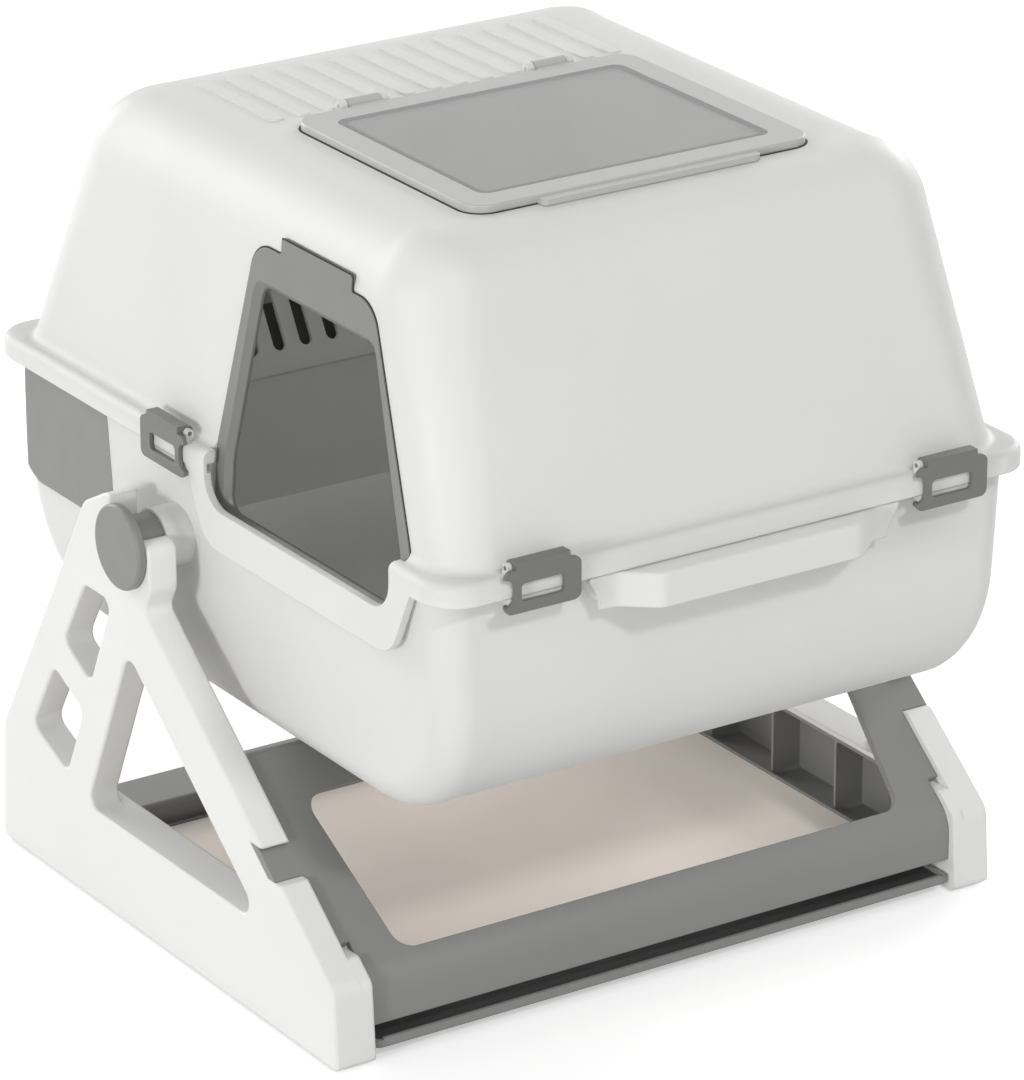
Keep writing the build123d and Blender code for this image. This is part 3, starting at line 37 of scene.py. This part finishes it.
# Colours, linear
WHITE = (0.88, 0.88, 0.868)
WHITE_FRAME = (0.8, 0.8, 0.79)
GREY = (0.245, 0.245, 0.238)
GREY_LIGHT = (0.234, 0.236, 0.225)
GREY_CLIP = (0.17, 0.17, 0.165)
GREY_ENTRANCE = (0.216, 0.217, 0.207)
GREY_SKY = (0.49, 0.49, 0.485)
BEIGE = (0.88, 0.805, 0.735)
# Dark rubber of the pads; the same colour paints shade into gaps as dark strips
RUBBER_AND_PAINTED_SHADE = (0.03, 0.03, 0.03)
STEEL = (0.62, 0.62, 0.63)
SMOKE = (0.56, 0.56, 0.555)


def new_material(name):
    """A material with an empty node tree, its Principled shader and its coordinates."""
    material = bpy.data.materials.new(name)
    material.use_nodes = True
    tree = material.node_tree
    tree.nodes.clear()
    output = tree.nodes.new("ShaderNodeOutputMaterial")
    shader = tree.nodes.new("ShaderNodeBsdfPrincipled")
    tree.links.new(shader.outputs[0], output.inputs["Surface"])
    coords = tree.nodes.new("ShaderNodeTexCoord")
    return material, tree, shader, coords


def noise(tree, coords, scale, detail):
    """The value of a noise texture in object coordinates, scale in cycles per metre."""
    node = tree.nodes.new("ShaderNodeTexNoise")
    node.inputs["Scale"].default_value = scale
    node.inputs["Detail"].default_value = detail
    tree.links.new(coords.outputs["Object"], node.inputs["Vector"])
    return node.outputs["Fac"]


def spread(tree, source, low, high):
    """Maps a noise value, most of which lies between 0.3 and 0.7, to the range low to high."""
    node = tree.nodes.new("ShaderNodeMapRange")
    node.inputs["From Min"].default_value = 0.3
    node.inputs["From Max"].default_value = 0.7
    node.inputs["To Min"].default_value = low
    node.inputs["To Max"].default_value = high
    tree.links.new(source, node.inputs["Value"])
    return node.outputs["Result"]


def tinted(tree, source, colour, amount):
    """A colour that varies by amount with a noise value."""
    node = tree.nodes.new("ShaderNodeMix")
    node.data_type = "RGBA"
    node.inputs["A"].default_value = (*[c * (1 - amount) for c in colour], 1)
    node.inputs["B"].default_value = (*[min(1, c * (1 + amount)) for c in colour], 1)
    tree.links.new(source, node.inputs["Factor"])
    return node.outputs["Result"]


def plastic(name, colour, roughness, grain=1400.0, grain_depth=0.00003, edge=0.0008, glow=0.0):
    """Moulded plastic with a fine spark-eroded grain, slight mottling and soft edges.

    The grain is in cycles per metre, its depth and the edge's radius in metres.
    The glow is the share of light that the wall lets through.
    """
    material, tree, shader, coords = new_material(name)
    mottling = noise(tree, coords, scale=9.0, detail=4.0)
    tree.links.new(tinted(tree, mottling, colour, amount=0.025), shader.inputs["Base Color"])
    sheen = noise(tree, coords, scale=55.0, detail=3.0)
    sheen_range = 0.05
    tree.links.new(
        spread(tree, sheen, roughness - sheen_range, roughness + sheen_range), shader.inputs["Roughness"]
    )
    shader.inputs["Specular IOR Level"].default_value = 0.45
    bump = tree.nodes.new("ShaderNodeBump")
    bump.inputs["Strength"].default_value = 0.35
    bump.inputs["Distance"].default_value = grain_depth
    tree.links.new(noise(tree, coords, grain, detail=2.0), bump.inputs["Height"])
    soft_edge = tree.nodes.new("ShaderNodeBevel")
    soft_edge.samples = 4
    soft_edge.inputs["Radius"].default_value = edge
    tree.links.new(soft_edge.outputs["Normal"], bump.inputs["Normal"])
    tree.links.new(bump.outputs["Normal"], shader.inputs["Normal"])
    if glow:
        through = tree.nodes.new("ShaderNodeBsdfTranslucent")
        through.inputs["Color"].default_value = (*colour, 1)
        both = tree.nodes.new("ShaderNodeMixShader")
        both.inputs["Fac"].default_value = glow
        tree.links.new(shader.outputs[0], both.inputs[1])
        tree.links.new(through.outputs[0], both.inputs[2])
        tree.links.new(both.outputs[0], tree.nodes["Material Output"].inputs["Surface"])
    return material


def smoked(name, colour):
    """Smoked clear plastic with a slight haze."""
    material, tree, shader, coords = new_material(name)
    haze = noise(tree, coords, scale=30.0, detail=3.0)
    tree.links.new(tinted(tree, haze, colour, amount=0.03), shader.inputs["Base Color"])
    tree.links.new(spread(tree, haze, low=0.07, high=0.09), shader.inputs["Roughness"])
    shader.inputs["Transmission Weight"].default_value = 0.7
    shader.inputs["IOR"].default_value = 1.45
    return material


def metal(name, colour):
    """Plain machined steel."""
    material, tree, shader, coords = new_material(name)
    lines = noise(tree, coords, scale=600.0, detail=2.0)
    tree.links.new(tinted(tree, lines, colour, amount=0.06), shader.inputs["Base Color"])
    tree.links.new(spread(tree, lines, low=0.25, high=0.4), shader.inputs["Roughness"])
    shader.inputs["Metallic"].default_value = 1.0
    return material


def dress(name, material):
    """Gives a CAD node its material."""
    mesh = nodes[name].data
    mesh.materials.clear()
    mesh.materials.append(material)


white = plastic("white_moulded_plastic", WHITE, roughness=0.5, edge=0.0015, glow=0.25)
white_frame = plastic("white_frame_plastic", WHITE_FRAME, roughness=0.5, edge=0.0022)
grey = plastic("grey_moulded_plastic", GREY, roughness=0.45, edge=0.0012)
grey_light = plastic("light_grey_moulded_plastic", GREY_LIGHT, roughness=0.45)
grey_clip = plastic("clip_grey_plastic", GREY_CLIP, roughness=0.42)
grey_entrance = plastic("entrance_grey_plastic", GREY_ENTRANCE, roughness=0.45)
grey_sky = plastic("skylight_grey_plastic", GREY_SKY, roughness=0.35)
beige = plastic("beige_mat_sheet", BEIGE, roughness=0.75, grain=500.0, grain_depth=0.0002)
# Rubber for the pads, also the painted shade of the dark gap strips
rubber_and_painted_shade = plastic("dark_rubber_and_painted_shade", RUBBER_AND_PAINTED_SHADE, roughness=0.8)
steel = metal("plain_steel", STEEL)
pane = smoked("smoked_pane", SMOKE)

FINISH = {
    "left_side_frame": white_frame,
    "right_side_frame": white_frame,
    "front_panel": grey,
    "rear_crossbar": grey,
    "left_side_liner": grey,
    "right_side_liner": grey,
    "frame_screws": steel,
    "foot_pads": rubber_and_painted_shade,
    "rest_pads": rubber_and_painted_shade,
    "base_tray": grey,
    "floor_mat": beige,
    "lower_pan": white,
    "pan_handle": white,
    "hood": white,
    "entrance_frame": grey_entrance,
    "left_pivot_knob": grey_light,
    "right_pivot_knob": grey_light,
    "pivot_screws": steel,
    "skylight_frame": grey_sky,
    "skylight_pane": pane,
    "skylight_hinge_pins": steel,
    "clip_pins": grey_clip,
    "front_left_clip": grey_clip,
    "front_right_clip": grey_clip,
    "left_clip": grey_clip,
    "right_clip": grey_clip,
    "waste_drawer": grey_light,
    "sifting_grate": white,
}
for node_name, finish in FINISH.items():
    dress(node_name, finish)

# Thin dark strips of painted shade, where gaps between parts lie in shade; those on level faces lie a
# hair above the face
HAIR = 0.00003
ARC_STEPS = 8


def rounded(points, radii):
    """A closed outline with its corners rounded, as a list of points, ARC_STEPS + 1 to a corner."""
    outline = []
    count = len(points)
    for i, radius in enumerate(radii):
        corner = Vector(points[i])
        before = (Vector(points[i - 1]) - corner).normalized()
        after = (Vector(points[(i + 1) % count]) - corner).normalized()
        half_angle = before.angle(after) / 2
        reach = radius / math.tan(half_angle)
        start = corner + before * reach
        end = corner + after * reach
        middle = corner + (before + after).normalized() * (radius / math.sin(half_angle))
        for k in range(ARC_STEPS + 1):
            way = k / ARC_STEPS
            arm = (start - middle).lerp(end - middle, way)
            outline.append(middle + arm.normalized() * radius)
    return outline


def painted_shade_strip(name, outer, inner, place, thickness, body, closed=True):
    """A thin dark strip between two outlines, painted shade that stands in for the shade of a gap
    between parts.

    The place function turns a point of an outline and a height into a position.
    """
    count = len(outer)
    positions = []
    for outline, height in ((outer, thickness), (inner, thickness), (outer, 0.0), (inner, 0.0)):
        positions += [place(point, height) for point in outline]
    faces = []
    for i in range(count if closed else count - 1):
        k = (i + 1) % count
        for a, b in ((0, 1), (1, 3), (3, 2), (2, 0)):
            faces.append((a * count + i, a * count + k, b * count + k, b * count + i))
    mesh = bpy.data.meshes.new(name)
    mesh.from_pydata(positions, [], faces)
    mesh.materials.append(rubber_and_painted_shade)
    strip = bpy.data.objects.new(name, mesh)
    scene.collection.objects.link(strip)
    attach(strip, body)


# Painted shade: a dark strip under the skylight's edge, for the shaded gap between its frame and the
# roof
ROOF_Z = 0.521
SKY_X, SKY_FRONT, SKY_REAR, SKY_CORNER = 0.126, -0.154, 0.053, 0.016
SKY_SHADE_OUT, SKY_SHADE_IN, SKY_SHADE_THICKNESS = 0.0015, 0.004, 0.0002


def sky_outline(grow):
    """The skylight's outline on the roof, grown."""
    corners = (
        (-SKY_X - grow, SKY_FRONT - grow),
        (SKY_X + grow, SKY_FRONT - grow),
        (SKY_X + grow, SKY_REAR + grow),
        (-SKY_X - grow, SKY_REAR + grow),
    )
    return rounded(corners, [SKY_CORNER + grow] * len(corners))


def on_roof(point, height):
    """A point of the roof's plane, raised."""
    return Vector((point.x, point.y, ROOF_Z + HAIR + height))


painted_shade_strip(
    "skylight_gap_shade",
    sky_outline(SKY_SHADE_OUT),
    sky_outline(-SKY_SHADE_IN),
    on_roof,
    SKY_SHADE_THICKNESS,
    "box",
)

# Painted shade: a dark strip round the entrance frame, on the hood's leaning side, for the shaded gap
# round the frame
WALL_FOOT_X, WALL_FOOT_Z = -0.207, 0.330
WALL_RUN, WALL_RISE = 0.011, 0.191
WALL_LEAN = math.atan2(WALL_RUN, WALL_RISE)
ENTRANCE_Y, ENTRANCE_HALF = -0.099, 0.112
ENTRANCE_BOTTOM_Z, KNEE_Z, ENTRANCE_TOP_Z, TAB_TOP_Z = 0.293, 0.338, 0.482, 0.492
TOP_FRONT, TAB_FRONT, TAB_REAR, TOP_REAR = 0.059, 0.035, -0.045, -0.075
BOTTOM_CORNER, KNEE_CORNER, TOP_CORNER, TAB_CORNER = 0.016, 0.0576, 0.022, 0.002
FRONT_KNEE, REAR_KNEE = 2, 9
ENTRANCE_SHADE_OUT, ENTRANCE_SHADE_IN, ENTRANCE_SHADE_THICKNESS = 0.0009, 0.0001, 0.0003


def up_wall(z):
    """Distance up the hood's leaning side from its foot to a height."""
    return (z - WALL_FOOT_Z) / math.cos(WALL_LEAN)


def middle_of_corner(index):
    """The place of a rounded corner's middle point in its outline."""
    return index * (ARC_STEPS + 1) + ARC_STEPS // 2


def entrance_outline(grow):
    """The entrance frame's upper outline on the hood's side, grown, from front knee to rear knee."""
    side = ENTRANCE_HALF + grow
    bottom = up_wall(ENTRANCE_BOTTOM_Z)
    knee = up_wall(KNEE_Z)
    top = up_wall(ENTRANCE_TOP_Z) + grow
    tab_top = up_wall(TAB_TOP_Z) + grow
    corners = (
        (-side, bottom),
        (side, bottom),
        (side, knee),
        (TOP_FRONT + grow, top),
        (TAB_FRONT + grow, top),
        (TAB_FRONT + grow, tab_top),
        (TAB_REAR - grow, tab_top),
        (TAB_REAR - grow, top),
        (TOP_REAR - grow, top),
        (-side, knee),
    )
    radii = (
        BOTTOM_CORNER,
        BOTTOM_CORNER,
        KNEE_CORNER,
        TOP_CORNER,
        TAB_CORNER,
        TAB_CORNER,
        TAB_CORNER,
        TAB_CORNER,
        TOP_CORNER,
        KNEE_CORNER,
    )
    return rounded(corners, radii)[middle_of_corner(FRONT_KNEE) : middle_of_corner(REAR_KNEE) + 1]


def on_wall(point, height):
    """A point of the hood's side, raised."""
    return Vector(
        (
            WALL_FOOT_X + point.y * math.sin(WALL_LEAN) - height * math.cos(WALL_LEAN),
            ENTRANCE_Y - point.x,
            WALL_FOOT_Z + point.y * math.cos(WALL_LEAN) + height * math.sin(WALL_LEAN),
        )
    )


painted_shade_strip(
    "entrance_gap_shade",
    entrance_outline(ENTRANCE_SHADE_OUT),
    entrance_outline(ENTRANCE_SHADE_IN),
    on_wall,
    ENTRANCE_SHADE_THICKNESS,
    "box",
    closed=False,
)

# Painted shade: a dark strip on the tray's floor, behind its lip, for the deep shade in the gap under
# the front panel
TRAY_FLOOR, TRAY_WALL, LIP_DEPTH = 0.002, 0.0025, 0.005
STRIP_DEPTH, STRIP_GAP, STRIP_SLIT, STRIP_THICKNESS = 0.0265, 0.0002, 0.0001, 0.0006
tray = nodes["base_tray"]
tray_corners = [tray.matrix_world @ Vector(corner) for corner in tray.bound_box]
tray_front = min(corner.y for corner in tray_corners)
tray_bottom = min(corner.z for corner in tray_corners)
tray_half = max(corner.x for corner in tray_corners)


def strip_outline(inset):
    """The painted shade strip's outline, set in from the tray's walls."""
    reach = tray_half - TRAY_WALL - STRIP_GAP - inset
    near = tray_front + LIP_DEPTH + STRIP_GAP + inset
    far = near + STRIP_DEPTH - 2 * inset
    return [Vector(p) for p in ((-reach, near), (reach, near), (reach, far), (-reach, far))]


def on_tray(point, height):
    """A point of the tray's floor, raised."""
    return Vector((point.x, point.y, tray_bottom + TRAY_FLOOR + HAIR + height))


painted_shade_strip(
    "tray_gap_shade",
    strip_outline(0.0),
    strip_outline((STRIP_DEPTH - STRIP_SLIT) / 2),
    on_tray,
    STRIP_THICKNESS,
    "tray",
)


def background_ray(tree):
    """One for rays that show the background itself, from the camera, off gloss or through glass."""
    path = tree.nodes.new("ShaderNodeLightPath")
    share = path.outputs["Is Camera Ray"]
    for kind in ("Is Glossy Ray", "Is Transmission Ray"):
        either = tree.nodes.new("ShaderNodeMath")
        either.operation = "MAXIMUM"
        tree.links.new(share, either.inputs[0])
        tree.links.new(path.outputs[kind], either.inputs[1])
        share = either.outputs[0]
    return share


# Floor
FLOOR_HALF = 20.0
FLOOR_ALBEDO = 0.76
FLOOR_GLOW = 0.44
floor_mesh = bpy.data.meshes.new("floor")
floor_corners = [
    (-FLOOR_HALF, -FLOOR_HALF, 0),
    (FLOOR_HALF, -FLOOR_HALF, 0),
    (FLOOR_HALF, FLOOR_HALF, 0),
    (-FLOOR_HALF, FLOOR_HALF, 0),
]
floor_mesh.from_pydata(floor_corners, [], [(0, 1, 2, 3)])
floor = bpy.data.objects.new("floor", floor_mesh)
scene.collection.objects.link(floor)
floor_material = bpy.data.materials.new("pale_floor")
floor_material.use_nodes = True
floor_tree = floor_material.node_tree
floor_tree.nodes.clear()
floor_out = floor_tree.nodes.new("ShaderNodeOutputMaterial")
floor_diffuse = floor_tree.nodes.new("ShaderNodeBsdfDiffuse")
floor_diffuse.inputs["Color"].default_value = (FLOOR_ALBEDO, FLOOR_ALBEDO, FLOOR_ALBEDO, 1)
floor_glow = floor_tree.nodes.new("ShaderNodeEmission")
floor_scale = floor_tree.nodes.new("ShaderNodeMath")
floor_scale.operation = "MULTIPLY"
floor_scale.inputs[1].default_value = FLOOR_GLOW
floor_tree.links.new(background_ray(floor_tree), floor_scale.inputs[0])
floor_tree.links.new(floor_scale.outputs[0], floor_glow.inputs["Strength"])
floor_add = floor_tree.nodes.new("ShaderNodeAddShader")
floor_tree.links.new(floor_diffuse.outputs[0], floor_add.inputs[0])
floor_tree.links.new(floor_glow.outputs[0], floor_add.inputs[1])
floor_tree.links.new(floor_add.outputs[0], floor_out.inputs["Surface"])
floor_mesh.materials.append(floor_material)

# World, white where it is seen and dimmer where it lights
WORLD_LEVEL = 0.465
SEEN_LEVEL = 1.0
world = bpy.data.worlds.new("studio")
scene.world = world
world.use_nodes = True
world_tree = world.node_tree
world_tree.nodes.clear()
world_out = world_tree.nodes.new("ShaderNodeOutputWorld")
world_background = world_tree.nodes.new("ShaderNodeBackground")
world_background.inputs["Color"].default_value = (1, 1, 1, 1)
world_strength = world_tree.nodes.new("ShaderNodeMapRange")
world_strength.inputs["To Min"].default_value = WORLD_LEVEL
world_strength.inputs["To Max"].default_value = SEEN_LEVEL
world_tree.links.new(background_ray(world_tree), world_strength.inputs["Value"])
world_tree.links.new(world_strength.outputs["Result"], world_background.inputs["Strength"])
world_tree.links.new(world_background.outputs[0], world_out.inputs["Surface"])

# Lamps, each with its direction from the object, its size in metres and its power in watts
CENTRE = Vector((0, 0, 0.27))
LAMP_DISTANCE = 6.0
LAMPS = {
    "left": ((-0.92, -0.33, 0.16), 0.9, 135.0),
    "front": ((0.05, -0.75, 0.65), 0.6, 86.0),
    "rear": ((-0.25, 0.92, 0.29), 3.0, 182.0),
    "right": ((0.85, 0.40, 0.33), 2.5, 158.0),
}


def area_light(name, direction, size, power):
    """A square soft light that points at the middle of the object."""
    data = bpy.data.lights.new(name, "AREA")
    data.shape = "SQUARE"
    data.size = size
    data.energy = power
    lamp = bpy.data.objects.new(name, data)
    scene.collection.objects.link(lamp)
    lamp.location = CENTRE + Vector(direction).normalized() * LAMP_DISTANCE
    lamp.rotation_mode = "QUATERNION"
    lamp.rotation_quaternion = (CENTRE - lamp.location).to_track_quat("-Z", "Y")


for lamp_name, (lamp_direction, lamp_size, lamp_power) in LAMPS.items():
    area_light(lamp_name, lamp_direction, lamp_size, lamp_power)

# Camera, at the photograph's place
AZIMUTH = math.radians(-33.35)
ELEVATION = math.radians(22.032)
CAMERA_AT = Vector((-2.0363, -3.0992, 1.7343))
FOCAL_PIXELS = 6229.0
IMAGE_HEIGHT = 1080.0
SENSOR = 36.0
FAR_CLIP = 100.0
camera_data = bpy.data.cameras.new("camera")
camera_data.sensor_width = SENSOR
camera_data.lens = FOCAL_PIXELS / IMAGE_HEIGHT * SENSOR
camera_data.clip_end = FAR_CLIP
camera = bpy.data.objects.new("camera", camera_data)
scene.collection.objects.link(camera)
back = Vector(
    (
        math.sin(AZIMUTH) * math.cos(ELEVATION),
        -math.cos(AZIMUTH) * math.cos(ELEVATION),
        math.sin(ELEVATION),
    )
)
camera.location = CAMERA_AT
camera.rotation_mode = "QUATERNION"
camera.rotation_quaternion = (-back).to_track_quat("-Z", "Y")
scene.camera = camera

scene.view_settings.view_transform = "Standard"
